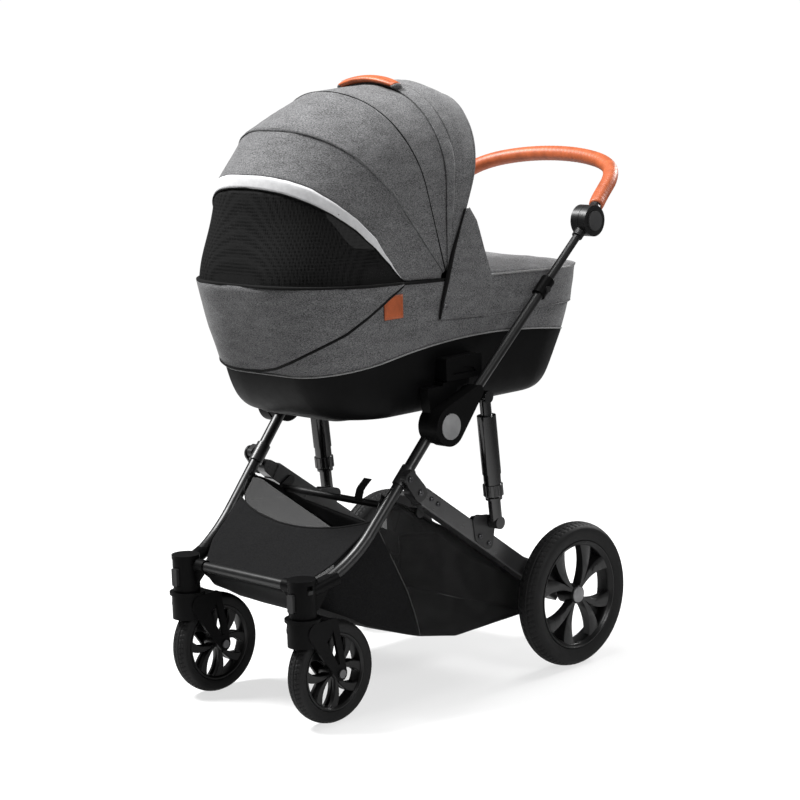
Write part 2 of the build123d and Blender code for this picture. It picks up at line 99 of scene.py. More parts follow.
def ramp(tree, value, stops):
    node = tree.nodes.new("ShaderNodeValToRGB")
    while len(node.color_ramp.elements) < len(stops):
        node.color_ramp.elements.new(0.5)
    for element, (at, colour) in zip(node.color_ramp.elements, stops):
        element.position = at
        element.color = (*colour, 1)
    tree.links.new(value, node.inputs["Fac"])
    return node.outputs["Color"]


def maths(tree, operation, a, b):
    node = tree.nodes.new("ShaderNodeMath")
    node.operation = operation
    for socket, value in zip(node.inputs, (a, b)):
        if isinstance(value, (int, float)):
            socket.default_value = value
        else:
            tree.links.new(value, socket)
    return node.outputs["Value"]


def mix(tree, factor, a, b):
    node = tree.nodes.new("ShaderNodeMix")
    node.data_type = "RGBA"
    for socket, value in ((node.inputs[0], factor), (node.inputs[6], a), (node.inputs[7], b)):
        if isinstance(value, (int, float)):
            socket.default_value = value
        elif isinstance(value, tuple):
            socket.default_value = (*value, 1)
        else:
            tree.links.new(value, socket)
    return node.outputs[2]


def bump(tree, shader, height, strength, distance):
    node = add(tree, "ShaderNodeBump", Strength=strength, Distance=distance)
    tree.links.new(height, node.inputs["Height"])
    tree.links.new(node.outputs["Normal"], shader.inputs["Normal"])


def settings(shader, **values):
    """Constants on named sockets."""
    for key, value in values.items():
        shader.inputs[key.replace("_", " ")].default_value = value


def grey(v):
    return (v, v, v * 1.02)


def melange(name, dark, light):
    """Heathered cloth: light and dark yarn flecks along the weft and the warp."""
    mat, tree, shader = nodes_of(name)
    weft = noise_node(tree, 1150, (0.3, 0.3, 1.0), 2, 0.6)
    warp = noise_node(tree, 1150, (1.0, 1.0, 0.28), 2, 0.6)
    broad = noise_node(tree, 45, (0.5, 0.5, 1.6), 3, 0.6)
    mixed = maths(tree, "ADD", maths(tree, "MULTIPLY", weft, 0.62), maths(tree, "MULTIPLY", warp, 0.38))
    drift = maths(tree, "MULTIPLY", maths(tree, "SUBTRACT", broad, 0.5), 0.14)
    mixed = maths(tree, "ADD", mixed, drift)
    middle = (dark + light) * 0.45
    colour = ramp(tree, mixed, [(0.36, grey(dark)), (0.5, grey(middle)), (0.64, grey(light))])
    tree.links.new(colour, shader.inputs["Base Color"])
    settings(shader, Roughness=0.92, Sheen_Weight=0.12, Sheen_Roughness=0.5, Specular_IOR_Level=0.25)
    bump(tree, shader, mixed, 0.55, 0.0006)
    return mat


def woven(name, base, light, sheen=0.15):
    """Plain black or white woven cloth."""
    mat, tree, shader = nodes_of(name)
    a = noise_node(tree, 900, (1, 1, 0.35), 2)
    b = noise_node(tree, 900, (0.35, 0.35, 1), 2)
    both = maths(tree, "MULTIPLY", a, b)
    colour = ramp(tree, both, [(0.12, base), (0.38, light)])
    tree.links.new(colour, shader.inputs["Base Color"])
    settings(shader, Roughness=0.85, Sheen_Weight=sheen, Specular_IOR_Level=0.12)
    bump(tree, shader, both, 0.5, 0.0005)
    return mat


def netting(name, base, light, alpha, cell):
    """Knitted mesh: rows of small holes between darker threads."""
    mat, tree, shader = nodes_of(name)
    cells = add(tree, "ShaderNodeTexVoronoi", Scale=cell, Randomness=0.15)
    tree.links.new(coordinates(tree, (1, 1, 0.75)), cells.inputs["Vector"])
    colour = ramp(tree, cells.outputs["Distance"], [(0.15, base), (0.55, light)])
    tree.links.new(colour, shader.inputs["Base Color"])
    settings(shader, Roughness=0.7, Specular_IOR_Level=0.08, Alpha=alpha)
    bump(tree, shader, cells.outputs["Distance"], 0.5, 0.0006)
    return mat


def dotted(name):
    """White lining cloth with sparse small black dots."""
    mat, tree, shader = nodes_of(name)
    cells = add(tree, "ShaderNodeTexVoronoi", Scale=34.0, Randomness=0.9)
    tree.links.new(coordinates(tree, (1, 1, 1)), cells.inputs["Vector"])
    soft = noise_node(tree, 120, (1, 1, 1), 3)
    cloth = ramp(tree, soft, [(0.3, (0.66, 0.66, 0.67)), (0.7, (0.76, 0.76, 0.77))])
    dot = maths(tree, "LESS_THAN", cells.outputs["Distance"], 0.075)
    tree.links.new(mix(tree, dot, cloth, (0.01, 0.01, 0.01)), shader.inputs["Base Color"])
    settings(shader, Roughness=0.85)
    bump(tree, shader, noise_node(tree, 1400, (1, 1, 1), 1), 0.3, 0.0004)
    return mat


PATCHINESS = 0.2


def moulded(name, base, rough, grain, depth, metallic=0.0, coat=0.0, shine=0.35):
    """Moulded plastic, rubber or coated metal, with fine grain and slight patchiness."""
    mat, tree, shader = nodes_of(name)
    patch = noise_node(tree, 18, (1, 1, 1), 4)
    low = tuple(c * (1 - PATCHINESS) for c in base)
    high = tuple(c * (1 + PATCHINESS) for c in base)
    tree.links.new(ramp(tree, patch, [(0.35, low), (0.65, high)]), shader.inputs["Base Color"])
    fine = noise_node(tree, grain, (1, 1, 1), 2)
    wear = noise_node(tree, 60, (1, 1, 1), 4)
    gloss = maths(tree, "ADD", maths(tree, "MULTIPLY", wear, 0.16), rough - 0.08)
    tree.links.new(gloss, shader.inputs["Roughness"])
    settings(shader, Metallic=metallic, Specular_IOR_Level=shine, Coat_Weight=coat)
    bump(tree, shader, fine, depth, 0.0003)
    return mat


def leather(name, base):
    """Tan leather with pebble grain and darker creases."""
    mat, tree, shader = nodes_of(name)
    pebble = add(tree, "ShaderNodeTexVoronoi", Scale=900.0, feature="DISTANCE_TO_EDGE")
    tree.links.new(coordinates(tree, (1, 1, 1)), pebble.inputs["Vector"])
    patch = noise_node(tree, 40, (1, 1, 1), 5)
    low = tuple(c * 0.72 for c in base)
    high = tuple(min(1, c * 1.2) for c in base)
    colour = ramp(tree, patch, [(0.3, low), (0.7, high)])
    crease = maths(tree, "LESS_THAN", pebble.outputs["Distance"], 0.05)
    dark = tuple(c * 0.55 for c in base)
    creased = mix(tree, maths(tree, "MULTIPLY", crease, 0.4), colour, dark)
    tree.links.new(creased, shader.inputs["Base Color"])
    settings(shader, Roughness=0.42, Specular_IOR_Level=0.5)
    bump(tree, shader, pebble.outputs["Distance"], 0.35, 0.0004)
    return mat


MAT = {
    "cloth": melange("cloth_grey_melange", 0.022, 0.27),
    "binding": woven("cloth_black_binding", (0.003,) * 3, (0.012,) * 3, sheen=0.03),
    "piping_dark": woven("cloth_dark_piping", (0.03,) * 3, (0.09,) * 3),
    "piping": woven("cloth_grey_piping", (0.16,) * 3, (0.38,) * 3),
    "band": dotted("cloth_white_dots"),
    "window": netting("mesh_black_window", (0.001,) * 3, (0.016,) * 3, 0.89, 210),
    "black_mesh": netting("mesh_black_basket", (0.001,) * 3, (0.026,) * 3, 0.72, 230),
    "black_cloth": woven("cloth_black_basket", (0.002, 0.002, 0.0024), (0.012, 0.012, 0.0125), sheen=0.03),
    "lining": woven("cloth_dark_lining", (0.02, 0.02, 0.021), (0.05, 0.05, 0.05)),
    "mattress_cloth": woven("cloth_white_jersey", (0.62, 0.62, 0.62), (0.82, 0.82, 0.81)),
    "tan_leather": leather("leather_tan", (0.52, 0.12, 0.040)),
    "stitch": woven("thread_tan", (0.30, 0.07, 0.02), (0.62, 0.20, 0.08)),
    "black_tube": moulded("metal_black_coat", (0.006, 0.006, 0.0063), 0.38, 2600, 0.04, shine=0.55),
    "bracket_metal": moulded("metal_dark_bracket", (0.016, 0.016, 0.0165), 0.34, 2200, 0.2, shine=0.6),
    # painted highlight: a lighter, glossier copy of the black coat for the rear beams, standing for the light
    # on their top faces
    "beam_metal_painted_highlight": moulded("metal_beam_painted_highlight", (0.035, 0.035, 0.036), 0.30, 2600, 0.04, shine=1.0),
    "knob_plastic": moulded("plastic_knob", (0.055, 0.055, 0.056), 0.38, 1500, 0.1, shine=0.5),
    "axle_steel": moulded("metal_axle", (0.16, 0.16, 0.165), 0.32, 2600, 0.15, metallic=0.9),
    "rivet_steel": moulded("metal_rivet", (0.10, 0.10, 0.105), 0.30, 2600, 0.1, metallic=0.9),
    "black_plastic": moulded("plastic_black", (0.0035, 0.0035, 0.0037), 0.45, 1500, 0.12, shine=0.09),
    "button_plastic": moulded("plastic_button", (0.02, 0.02, 0.0205), 0.40, 1500, 0.2),
    "hub_cap": moulded("plastic_hub_cap", (0.30, 0.30, 0.305), 0.33, 1800, 0.15, shine=0.5),
    "gloss_strut": moulded("plastic_gloss", (0.008, 0.008, 0.0085), 0.16, 900, 0.03, coat=0.5,
                           shine=0.6),
    "tyre_rubber": moulded("rubber_tyre", (0.010, 0.010, 0.0102), 0.58, 1300, 0.45, shine=0.25),
    "wheel_plastic": moulded("plastic_wheel", (0.005, 0.005, 0.0052), 0.30, 1700, 0.15),
    "spoke_face": moulded("plastic_spoke_face", (0.010, 0.010, 0.0103), 0.30, 1500, 0.1, shine=0.5),
}
MAT["grey_melange"] = MAT["cloth"]  # the slot that the CAD gives its cloth nodes


# ---- mesh helpers

def make_object(name, vertices, faces, mat, body, sharp=None):
    """A mesh piece from stem-frame millimetres."""
    mesh = bpy.data.meshes.new(name)
    mesh.from_pydata([tuple(p) for p in metres(vertices)], [], faces)
    mesh.update()
    mesh.polygons.foreach_set("use_smooth", [True] * len(mesh.polygons))
    if sharp:
        mesh.set_sharp_from_angle(angle=radians(sharp))
    obj = bpy.data.objects.new(name, mesh)
    bpy.context.scene.collection.objects.link(obj)
    mesh.materials.append(MAT[mat])
    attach(obj, body)
    return obj


def grid(place, us, vs):
    """Rows of the points place(u, v)."""
    return [[place(u, v) for v in vs] for u in us]


def area_of(obj):
    """Area of a mesh in square metres."""
    return sum(p.area for p in obj.data.polygons)


def grid_faces(rows, columns, wrap_rows=False, wrap_columns=False):
    faces = []
    for i in range(rows - (not wrap_rows)):
        for j in range(columns - (not wrap_columns)):
            i2, j2 = (i + 1) % rows, (j + 1) % columns
            faces.append((i * columns + j, i * columns + j2, i2 * columns + j2, i2 * columns + j))
    return faces


def thicken(obj, thickness, offset):
    """Give a sheet its thickness in millimetres."""
    solid = obj.modifiers.new("thickness", "SOLIDIFY")
    solid.thickness = thickness / 1000
    solid.offset = offset


def sheet(name, points, mat, body, thickness, slot, offset=0.0, around=False):
    """A cloth sheet over a grid of points, and its area in square metres."""
    points = np.array(points, float)
    rows, columns = points.shape[:2]
    faces = grid_faces(rows, columns, False, around)
    obj = make_object(name, points.reshape(-1, 3), faces, mat, body)
    thicken(obj, thickness, offset)
    return obj, area_of(obj)


def cot_sheet(name, points, thickness, mat="cloth", **how):
    """A sheet of the carrycot's grey fabric."""
    return sheet(name, points, mat, "carrycot", thickness, "grey_melange", **how)


def basket_sheet(name, points, thickness, mat="black_cloth"):
    """A sheet of the basket, which rides on the front frame."""
    return sheet(name, points, mat, "front_frame", thickness, "black_cloth")


def pipe(name, path, radius, mat, body, slot=None, segments=10, closed=False, squashed=1.0):
    """A round or flattened cord of cloth or leather along a path."""
    path = np.array(path, float)
    count = len(path)
    radii = np.full(count, radius) if np.isscalar(radius) else np.array(radius, float)
    if closed:
        tangents = np.roll(path, -1, 0) - np.roll(path, 1, 0)
    else:
        tangents = np.gradient(path, axis=0)
    tangents /= np.linalg.norm(tangents, axis=1)[:, None]
    side = np.cross(tangents[0], [0, 0, 1])
    if np.linalg.norm(side) < 0.2:
        side = np.cross(tangents[0], [0, 1, 0])
    rings = []
    for k in range(count):
        side = side - tangents[k] * (side @ tangents[k])
        side /= np.linalg.norm(side)
        up = np.cross(tangents[k], side)
        for j in range(segments):
            a = 2 * pi * j / segments
            rings.append(path[k] + radii[k] * (cos(a) * side + squashed * sin(a) * up))
    faces = grid_faces(count, segments, closed, True)
    if not closed:
        faces.append(tuple(range(segments - 1, -1, -1)))
        faces.append(tuple((count - 1) * segments + j for j in range(segments)))
    return make_object(name, rings, faces, mat, body)


def cot_pipe(name, path, radius, mat, body="carrycot", **how):
    """A binding or piping on the carrycot's fabric."""
    return pipe(name, path, radius, mat, body, "grey_melange", **how)


def basket_pipe(name, path, radius, mat="binding", **how):
    """A binding or piping on the basket."""
    return pipe(name, path, radius, mat, "front_frame", "black_cloth", **how)


def distances(points):
    """Distance along a path at each of its points."""
    return np.r_[0, np.cumsum(np.linalg.norm(np.diff(points, axis=0), axis=1))]


def resample(points, count):
    """The same open path with evenly spaced points."""
    p = np.array(points, float)
    d = distances(p)
    steps = np.linspace(0, d[-1], count)
    return np.stack([np.interp(steps, d, p[:, k]) for k in range(3)], 1)


def read(table, x):
    """Straight-line reading of a table of (x, value)."""
    return float(np.interp(x, *zip(*table)))


def soften(points, rounds):
    """Chaikin corner cutting of an open path."""
    p = np.array(points, float)
    for _ in range(rounds):
        a, b = p[:-1] * 0.75 + p[1:] * 0.25, p[:-1] * 0.25 + p[1:] * 0.75
        p = np.vstack([p[:1], np.stack([a, b], 1).reshape(-1, 3), p[-1:]])
    return p


def ripple(p, size, length, seed):
    """Smooth signed noise at a place, for wrinkles in millimetres."""
    q = Vector((p[0] / length + seed * 7.3, p[1] / length - seed * 3.1, p[2] / length + seed * 1.7))
    return size * noise.noise(q)


def creases(p, size, length, fine, fine_length, seed):
    """Broad and fine wrinkles together."""
    return ripple(p, size, length, seed) + ripple(p, fine, fine_length, seed + 1)


def lathe(name, profile, centre, count, mat, body, shape=None, sharp=35):
    """A solid of revolution about an axle along X. profile is a closed loop of (x, radius).
    shape(angle, x, radius) gives what is added to the radius."""
    profile = np.array(profile, float)
    vertices = []
    for i in range(count):
        a = 2 * pi * i / count
        for x, r in profile:
            r2 = r + (shape(a, x, r) if shape else 0)
            vertices.append((centre[0] + x, centre[1] + r2 * cos(a), centre[2] + r2 * sin(a)))
    faces = grid_faces(count, len(profile), True, True)
    return make_object(name, vertices, faces, mat, body, sharp)


def loft(name, rings, mat, body, sharp=35):
    """A closed solid through rings of equal point counts."""
    rings = np.array(rings, float)
    count, n = rings.shape[:2]
    faces = grid_faces(count, n, False, True)
    faces.append(tuple(range(n - 1, -1, -1)))
    faces.append(tuple((count - 1) * n + j for j in range(n)))
    return make_object(name, rings.reshape(-1, 3), faces, mat, body, sharp)


def join(objects, name):
    """Several pieces of one body as one object."""
    bpy.ops.object.select_all(action="DESELECT")
    for o in objects:
        o.select_set(True)
    bpy.context.view_layer.objects.active = objects[0]
    bpy.ops.object.join()
    objects[0].name = objects[0].data.name = name
    return objects[0]


# ---- camera, floor and lights

# The photograph's camera, recovered from paired features and the wheels.
CAMERA_PLACE = (3185.136506, -2772.551094, 1302.476068)
CAMERA_TURN, CAMERA_DIP, CAMERA_ROLL = 44.821561, 9.578945, -1.680469
CAMERA_FOCAL, PHOTO_WIDTH = 2309.3594, 800
SENSOR = 36


def make_camera():
    a, e, roll = radians(CAMERA_TURN), radians(CAMERA_DIP), radians(CAMERA_ROLL)
    right = np.array([cos(a), sin(a), 0])
    up = np.array([-sin(a) * sin(e), cos(a) * sin(e), cos(e)])
    back = np.array([sin(a) * cos(e), -cos(a) * cos(e), sin(e)])
    right, up = cos(roll) * right + sin(roll) * up, cos(roll) * up - sin(roll) * right
    data = bpy.data.cameras.new("camera")
    data.sensor_width = SENSOR
    data.lens = SENSOR * CAMERA_FOCAL / PHOTO_WIDTH
    cam = bpy.data.objects.new("camera", data)
    place = metres([CAMERA_PLACE])[0]
    rows = [[right[k], up[k], back[k], place[k]] for k in range(3)]
    cam.matrix_world = Matrix(rows + [[0, 0, 0, 1]])
    bpy.context.scene.collection.objects.link(cam)
    bpy.context.scene.camera = cam


def make_world():
    """White behind the object, and a soft even light around it."""
    world = bpy.data.worlds.new("studio")
    world.use_nodes = True
    tree = world.node_tree
    back = tree.nodes["Background"]
    back.inputs["Color"].default_value = (1, 1, 1, 1)
    rays = tree.nodes.new("ShaderNodeLightPath")
    strength = maths(tree, "ADD", maths(tree, "MULTIPLY", rays.outputs["Is Camera Ray"], 0.89), 0.13)
    tree.links.new(strength, back.inputs["Strength"])
    bpy.context.scene.world = world


FLOOR_REACH, FLOOR_TICKS, FLOOR_FADE = 2.4, 60, 2.3
FLOOR_ALPHA = 0.52


def make_floor():
    """Pale floor that fades out around the object."""
    mesh = bpy.data.meshes.new("floor")
    ticks = np.linspace(-FLOOR_REACH, FLOOR_REACH, FLOOR_TICKS)
    faces = grid_faces(FLOOR_TICKS, FLOOR_TICKS)
    mesh.from_pydata([(x, y, 0) for x in ticks for y in ticks], [], faces)
    floor = bpy.data.objects.new("floor", mesh)
    bpy.context.scene.collection.objects.link(floor)
    mat, tree, shader = nodes_of("floor_white")
    settings(shader, Base_Color=(0.86, 0.86, 0.86, 1), Roughness=0.9, Specular_IOR_Level=0.1,
             Emission_Color=(1, 1, 1, 1), Emission_Strength=0.36)
    place = tree.nodes.new("ShaderNodeTexCoord")
    length = tree.nodes.new("ShaderNodeVectorMath")
    length.operation = "LENGTH"
    tree.links.new(place.outputs["Object"], length.inputs[0])
    away = maths(tree, "MULTIPLY", length.outputs["Value"], 1 / FLOOR_FADE)
    alpha = ramp(tree, away, [(0.50, (FLOOR_ALPHA,) * 3), (1.0, (0, 0, 0))])
    tree.links.new(alpha, shader.inputs["Alpha"])
    mesh.materials.append(mat)


# name, place and size in metres, power in watts
LIGHTS = (("key", (-1.9, -1.7, 4.2), 1.5, 330), ("top", (0.1, 0.3, 3.3), 1.2, 34),
          ("fill", (2.9, -0.6, 1.9), 0.9, 26), ("rim", (0.2, 3.0, 2.0), 1.0, 60))
LIT_PLACE = Vector((0, 0, 0.65))


def make_lights():
    for name, place, size, power in LIGHTS:
        data = bpy.data.lights.new(name, "AREA")
        data.shape = "DISK"
        data.size = size
        data.energy = power
        lamp = bpy.data.objects.new(name, data)
        lamp.location = place
        lamp.rotation_mode = "QUATERNION"
        lamp.rotation_quaternion = (LIT_PLACE - Vector(place)).to_track_quat("-Z", "Y")
        bpy.context.scene.collection.objects.link(lamp)


def make_studio():
    bpy.context.scene.view_settings.view_transform = "Standard"
    make_world()
    make_floor()
    make_lights()


# ---- hard parts

# edge radius in millimetres by slot, and looks that differ from the slot's; the rear beams get a lighter copy
# of the black coat, whose lighter colour is painted highlight
ROUNDED = {"black_plastic": 0.9, "button_plastic": 0.7, "bracket_metal": 0.5, "hub_cap": 0.6,
           "gloss_strut": 0.6, "rivet_steel": 0.6}
OWN_LOOK = {"rear_beam_left": "beam_metal_painted_highlight", "rear_beam_right": "beam_metal_painted_highlight",
            "joint_button_left": "knob_plastic", "joint_button_right": "knob_plastic"}


def finish_cad_nodes():
    """Materials and softened edges on the CAD solids that stay."""
    slots = {s["node"]: s["material_slot"] for s in frame["record"]["subparts"]}
    for name, obj in frame["nodes"].items():
        slot = slots[name]
        obj.data.materials.clear()
        obj.data.materials.append(MAT[OWN_LOOK.get(name, slot)])
        if "custom_normal" in obj.data.attributes:
            obj.data.attributes.remove(obj.data.attributes["custom_normal"])
        obj.data.polygons.foreach_set("use_smooth", [True] * len(obj.data.polygons))
        weld = obj.modifiers.new("weld", "WELD")
        weld.merge_threshold = 2e-5
        bevel = obj.modifiers.new("edges", "BEVEL")
        bevel.width = ROUNDED.get(slot, 0.4) / 1000
        bevel.segments = 2
        bevel.limit_method = "ANGLE"
        bevel.angle_limit = radians(35)
        obj.modifiers.new("shading", "WEIGHTED_NORMAL")


# ---- wheels

def tyre_profile(radius, rim, half):
    """Closed loop of a tyre section, with beads and a round tread."""
    loop = [(-half * 0.62, rim), (-half * 0.74, rim + 1.5), (-half * 0.80, rim + 4)]
    depth = radius - rim
    for k in range(31):
        a = pi * (0.86 - 0.72 * k / 30)
        r = rim + depth * 0.42 + sin(a) ** 0.9 * depth * 0.58
        loop.append((cos(a) * half, min(r, radius)))
    loop += [(half * 0.80, rim + 4), (half * 0.74, rim + 1.5), (half * 0.62, rim)]
    return loop


def make_tyre(name, node, centre, radius, rim, half, blocks, body):
    """A tyre with two rings of grooves and blocks cut by slanted ones."""
    dense = []
    loop = tyre_profile(radius, rim, half)
    for p, q in zip(loop, loop[1:] + loop[:1]):
        for t in (0.0, 0.5):
            dense.append((p[0] + (q[0] - p[0]) * t, p[1] + (q[1] - p[1]) * t))

    def tread(a, x, r):
        if r < radius - 0.16 * (radius - rim):
            return 0.0
        lateral = abs(x) / half
        phase = (a * blocks / (2 * pi) + (0.5 if x > 0 else 0) + lateral * 0.8) % 1
        groove = 0.0
        if abs(lateral - 0.20) < 0.045 or abs(lateral - 0.52) < 0.045:
            groove = 1.5
        if lateral > 0.2 and phase < 0.26:
            groove = 1.6
        if lateral <= 0.2 and phase < 0.12:
            groove = 0.9
        return -groove

    count = blocks * 6
    obj = lathe(name, dense, centre, count, "tyre_rubber", body, tread, 50)
    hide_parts(node)


SPOKE_CHAMFER = -1.4


def between(pair, t):
    return pair[0] + (pair[1] - pair[0]) * t


def spoke_rings(centre, s, radius, middle, width, face_at, depth_at):
    """Rings of one wedge spoke. Each pair gives a measure at the hub and at the rim: the radius,
    the angle in degrees, the width, the place of the face along the axle and the depth.
    s is +1 or -1 for the outward side."""
    rings = []
    for k in range(9):
        t = k / 8
        r = between(radius, t)
        mid = radians(between(middle, t ** 1.5))
        wide = between(width, t ** 1.25)
        face = between(face_at, t ** 0.8)
        depth = between(depth_at, t)
        ring = []
        for across, level in ((-0.5, -depth), (-0.5, SPOKE_CHAMFER), (-0.40, 0), (0.40, 0),
                              (0.5, SPOKE_CHAMFER), (0.5, -depth)):
            a = mid + across * wide / r
            ring.append((centre[0] + s * (face + level), centre[1] + r * cos(a), centre[2] + r * sin(a)))
        rings.append(ring)
    return rings


def finish_rim(parts, end, side):
    """The parts of a rim as one piece, in the place of the CAD one. end is front or rear."""
    rim = join(parts, f"{end}_rim_wheel_{side}")
    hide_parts(f"{end}_rim_{side}")


def make_rear_rim(side, s):
    centre = (261.6 * s, 640, 145)
    body = f"rear_wheel_{side}"
    band = [(-20, 108), (-20, 104), (-17, 99.5), (-6, 97), (9, 97), (15, 99.5), (17, 102.5), (18.5, 104.5),
            (20, 106), (20, 108)]
    parts = [lathe(f"rim_band_{side}", [(s * x, r) for x, r in band], centre, 120, "wheel_plastic", body)]
    hub = [(-26, 6.2), (-26, 14), (-22, 20), (8, 20), (14, 19), (17, 17.5), (17, 6.2)]
    parts.append(lathe(f"rim_hub_{side}", [(s * x, r) for x, r in hub], centre, 48, "wheel_plastic", body))
    for k, angle in enumerate((30, 74, 120, 164, 210, 254, 300, 344)):
        swirl = 16 if k % 2 else -16
        rings = spoke_rings(centre, s, (14, 100), (angle - swirl, angle), (5, 33), (15, 15), (20, 16))
        parts.append(loft(f"rim_spoke_{side}_{k}", rings, "spoke_face", body))
    for k, angle in enumerate((52, 142, 232, 322)):
        rings = spoke_rings(centre, s, (14, 99), (angle, angle), (5, 48), (0, -2), (5, 5))
        parts.append(loft(f"rim_web_{side}_{k}", rings, "wheel_plastic", body))
    finish_rim(parts, "rear", side)
    cap = [(14, 0.5), (23.3, 0.5), (23.0, 6), (21.5, 12), (18.5, 15.5), (14, 16.2)]
    lathe(f"rear_wheel_cap_{side}", [(s * x, r) for x, r in cap], centre, 48, "hub_cap", body)
    make_tyre(f"rear_tyre_tread_{side}", f"rear_tyre_{side}", centre, 145, 108, 26, 74, body)


def make_front_rim(side, s):
    centre = (163 * s, 64, 98)
    body = f"front_wheel_{side}"
    band = [(-15, 73), (-15, 70), (-12, 67), (-4, 65.6), (4, 65.6), (12, 67), (15, 70), (15, 73)]
    parts = [lathe(f"front_rim_band_{side}", band, centre, 96, "wheel_plastic", body)]
    hub = [(-21.5, 5.2), (-21.5, 11), (-18, 13), (18, 13), (21.5, 11), (21.5, 5.2)]
    parts.append(lathe(f"front_rim_hub_{side}", hub, centre, 40, "wheel_plastic", body))
    for face_side in (1, -1):
        for k in range(8):
            angle = 45 * k + (8 if k % 2 else -4)
            swirl = 20 if k % 2 else -20
            rings = spoke_rings(centre, face_side, (11, 67.5), (angle - swirl, angle), (5, 22), (10, 11),
                                (9.8, 6))
            parts.append(loft(f"front_spoke_{side}_{face_side}_{k}", rings, "wheel_plastic", body))
    finish_rim(parts, "front", side)
    make_tyre(f"front_tyre_tread_{side}", f"front_tyre_{side}", centre, 98, 73, 20, 64, body)


# ---- carrycot

# height, half width, front, rear and corner radius of the cot's outline
COT = np.array([(551, 165, 157, 671, 80), (562, 184, 130, 704, 100), (592, 193, 101, 735, 120),
                (640, 199, 80, 765, 133), (720, 202, 48, 800, 143), (820, 203, 17, 827, 150)], float)


def cot_section(z):
    """Half width, front, rear and corner radius of the cot at a height."""
    return [float(np.interp(z, COT[:, 0], COT[:, k])) for k in (1, 2, 3, 4)]


def cot_point(turn, z, out=0.0):
    """A point on the cot wall. turn is 0 at the front centre, 0.5 at the rear centre, 0.25 on +X."""
    half, front, rear, corner = cot_section(z)
    side, end = rear - front - 2 * corner, half - corner
    arc = corner * pi / 2
    total = 4 * arc + 2 * side + 4 * end
    u = (turn % 1) * total
    mirror_x = 1
    if u > total / 2:
        u, mirror_x = total - u, -1
    if u < end:
        x, y, nx, ny = u, front, 0, -1
    elif u < end + arc:
        a = (u - end) / corner
        x, y = end + corner * sin(a), front + corner - corner * cos(a)
        nx, ny = sin(a), -cos(a)
    elif u < end + arc + side:
        x, y, nx, ny = half, front + corner + (u - end - arc), 1, 0
    elif u < end + 2 * arc + side:
        a = (u - end - arc - side) / corner
        x, y = end + corner * cos(a), rear - corner + corner * sin(a)
        nx, ny = cos(a), sin(a)
    else:
        x, y, nx, ny = total / 2 - u, rear, 0, 1
    return np.array([(x + nx * out) * mirror_x, y + ny * out, z])


def rim_z(y):
    return 812 - (y - 17) * 30 / 810


def seam_z(y):
    """Height of the arched seam between tub and fabric."""
    a, b, c = (60, 634), (380, 684), (800, 648)
    m = np.array([[q[0] ** 2, q[0], 1] for q in (a, b, c)], float)
    k = np.linalg.solve(m, np.array([a[1], b[1], c[1]], float))
    return k[0] * y * y + k[1] * y + k[2]


def on_wall(turn, level, out):
    """A point between the seam, at level 0, and the rim, at level 1."""
    z = 720.0
    for _ in range(4):
        y = cot_point(turn, z)[1]
        z = seam_z(y) + (rim_z(y) - seam_z(y)) * level
    return cot_point(turn, z, out)


def make_cot_wall():
    turns = np.linspace(0, 1, 181)[:-1]

    def place(level, t):
        out = 1.5 + 1.3 * sin(pi * level) ** 0.5
        out += creases(on_wall(t, level, out), 1.1, 70, 0.5, 22, 1)
        return on_wall(t, level, out)

    rows = grid(place, np.linspace(0, 1, 26), turns)
    wall, area = cot_sheet("cot_fabric_wall", rows, 2.0, offset=-1.0, around=True)
    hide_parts("cot_wall")
    rows = grid(lambda level, t: on_wall(t, level, -4.0), np.linspace(-0.72, 1, 14), turns)
    lining, lining_area = cot_sheet("cot_lining", rows, 1.6, "lining", offset=1.0, around=True)
    seam = cot_pipe("cot_seam_piping", [on_wall(t, 0.0, 2.6) for t in turns], 1.5, "piping", closed=True)
    rim = cot_pipe("cot_rim_binding", [on_wall(t, 1.0, -0.8) for t in turns], 3.6, "binding", closed=True)


# hem of the folded-down window cover: fraction of the wall's height at each share of its half width
FLAP_HEM = [(-1.0, 0.99), (-0.85, 0.62), (-0.70, 0.25), (-0.55, 0.04), (-0.15, 0.03), (0.0, 0.045),
            (0.12, 0.09), (0.24, 0.175), (0.36, 0.275), (0.48, 0.375), (0.60, 0.475), (0.72, 0.625),
            (0.84, 0.775), (0.96, 0.925), (1.0, 0.99)]
FLAP_END = 0.166  # turn of the cot's wall at which the cover ends


def make_flap():
    """Window cover, folded down over the front of the cot, with its black zip edge."""
    columns = np.linspace(-1, 1, 91)

    def place(k, c):
        level = 1.0 - (1.0 - read(FLAP_HEM, c)) * k / 16
        out = 5.6 + 1.8 * sin(pi * k / 16)
        out += creases(on_wall(c * FLAP_END, level, out), 1.8, 90, 0.6, 26, 5)
        return on_wall(c * FLAP_END, level, out)

    rows = grid(place, range(17), columns)
    flap, area = cot_sheet("window_cover", rows, 1.8)
    hem = cot_pipe("window_cover_zip", resample(rows[-1], 160), 2.9, "binding")
    top = [on_wall(c * FLAP_END, 1.0, 4.2) + np.array([0, 0, 1.0]) for c in columns]
    fold = cot_pipe("window_cover_fold", top, 3.4, "binding")


# ---- hood

PIVOT = (365.0, 803.0)
HALF, SHOULDER, FOOT = 198.0, 180.0, 14.0
# rib angle in degrees and the reach of the crown there
RIBS = [(0, 352), (33, 382), (50, 384), (73, 367), (92, 357), (104, 371), (118, 372)]


def crown_radius(a):
    """Reach of the hood's crown, straight from rib to rib in side view."""
    for (a0, r0), (a1, r1) in zip(RIBS, RIBS[1:]):
        if a <= a1:
            break
    p0 = np.array([-cos(radians(a0)), sin(radians(a0))]) * r0
    p1 = np.array([-cos(radians(a1)), sin(radians(a1))]) * r1
    d = np.array([-cos(radians(a)), sin(radians(a))])
    reach, _ = np.linalg.solve(np.array([d, p0 - p1]).T, p0)
    chord, arc = reach, r0 + (r1 - r0) * (a - a0) / max(a1 - a0, 1e-6)
    return 0.72 * chord + 0.28 * arc


def curve_share(points):
    d = distances(points)
    return points, d / d[-1]


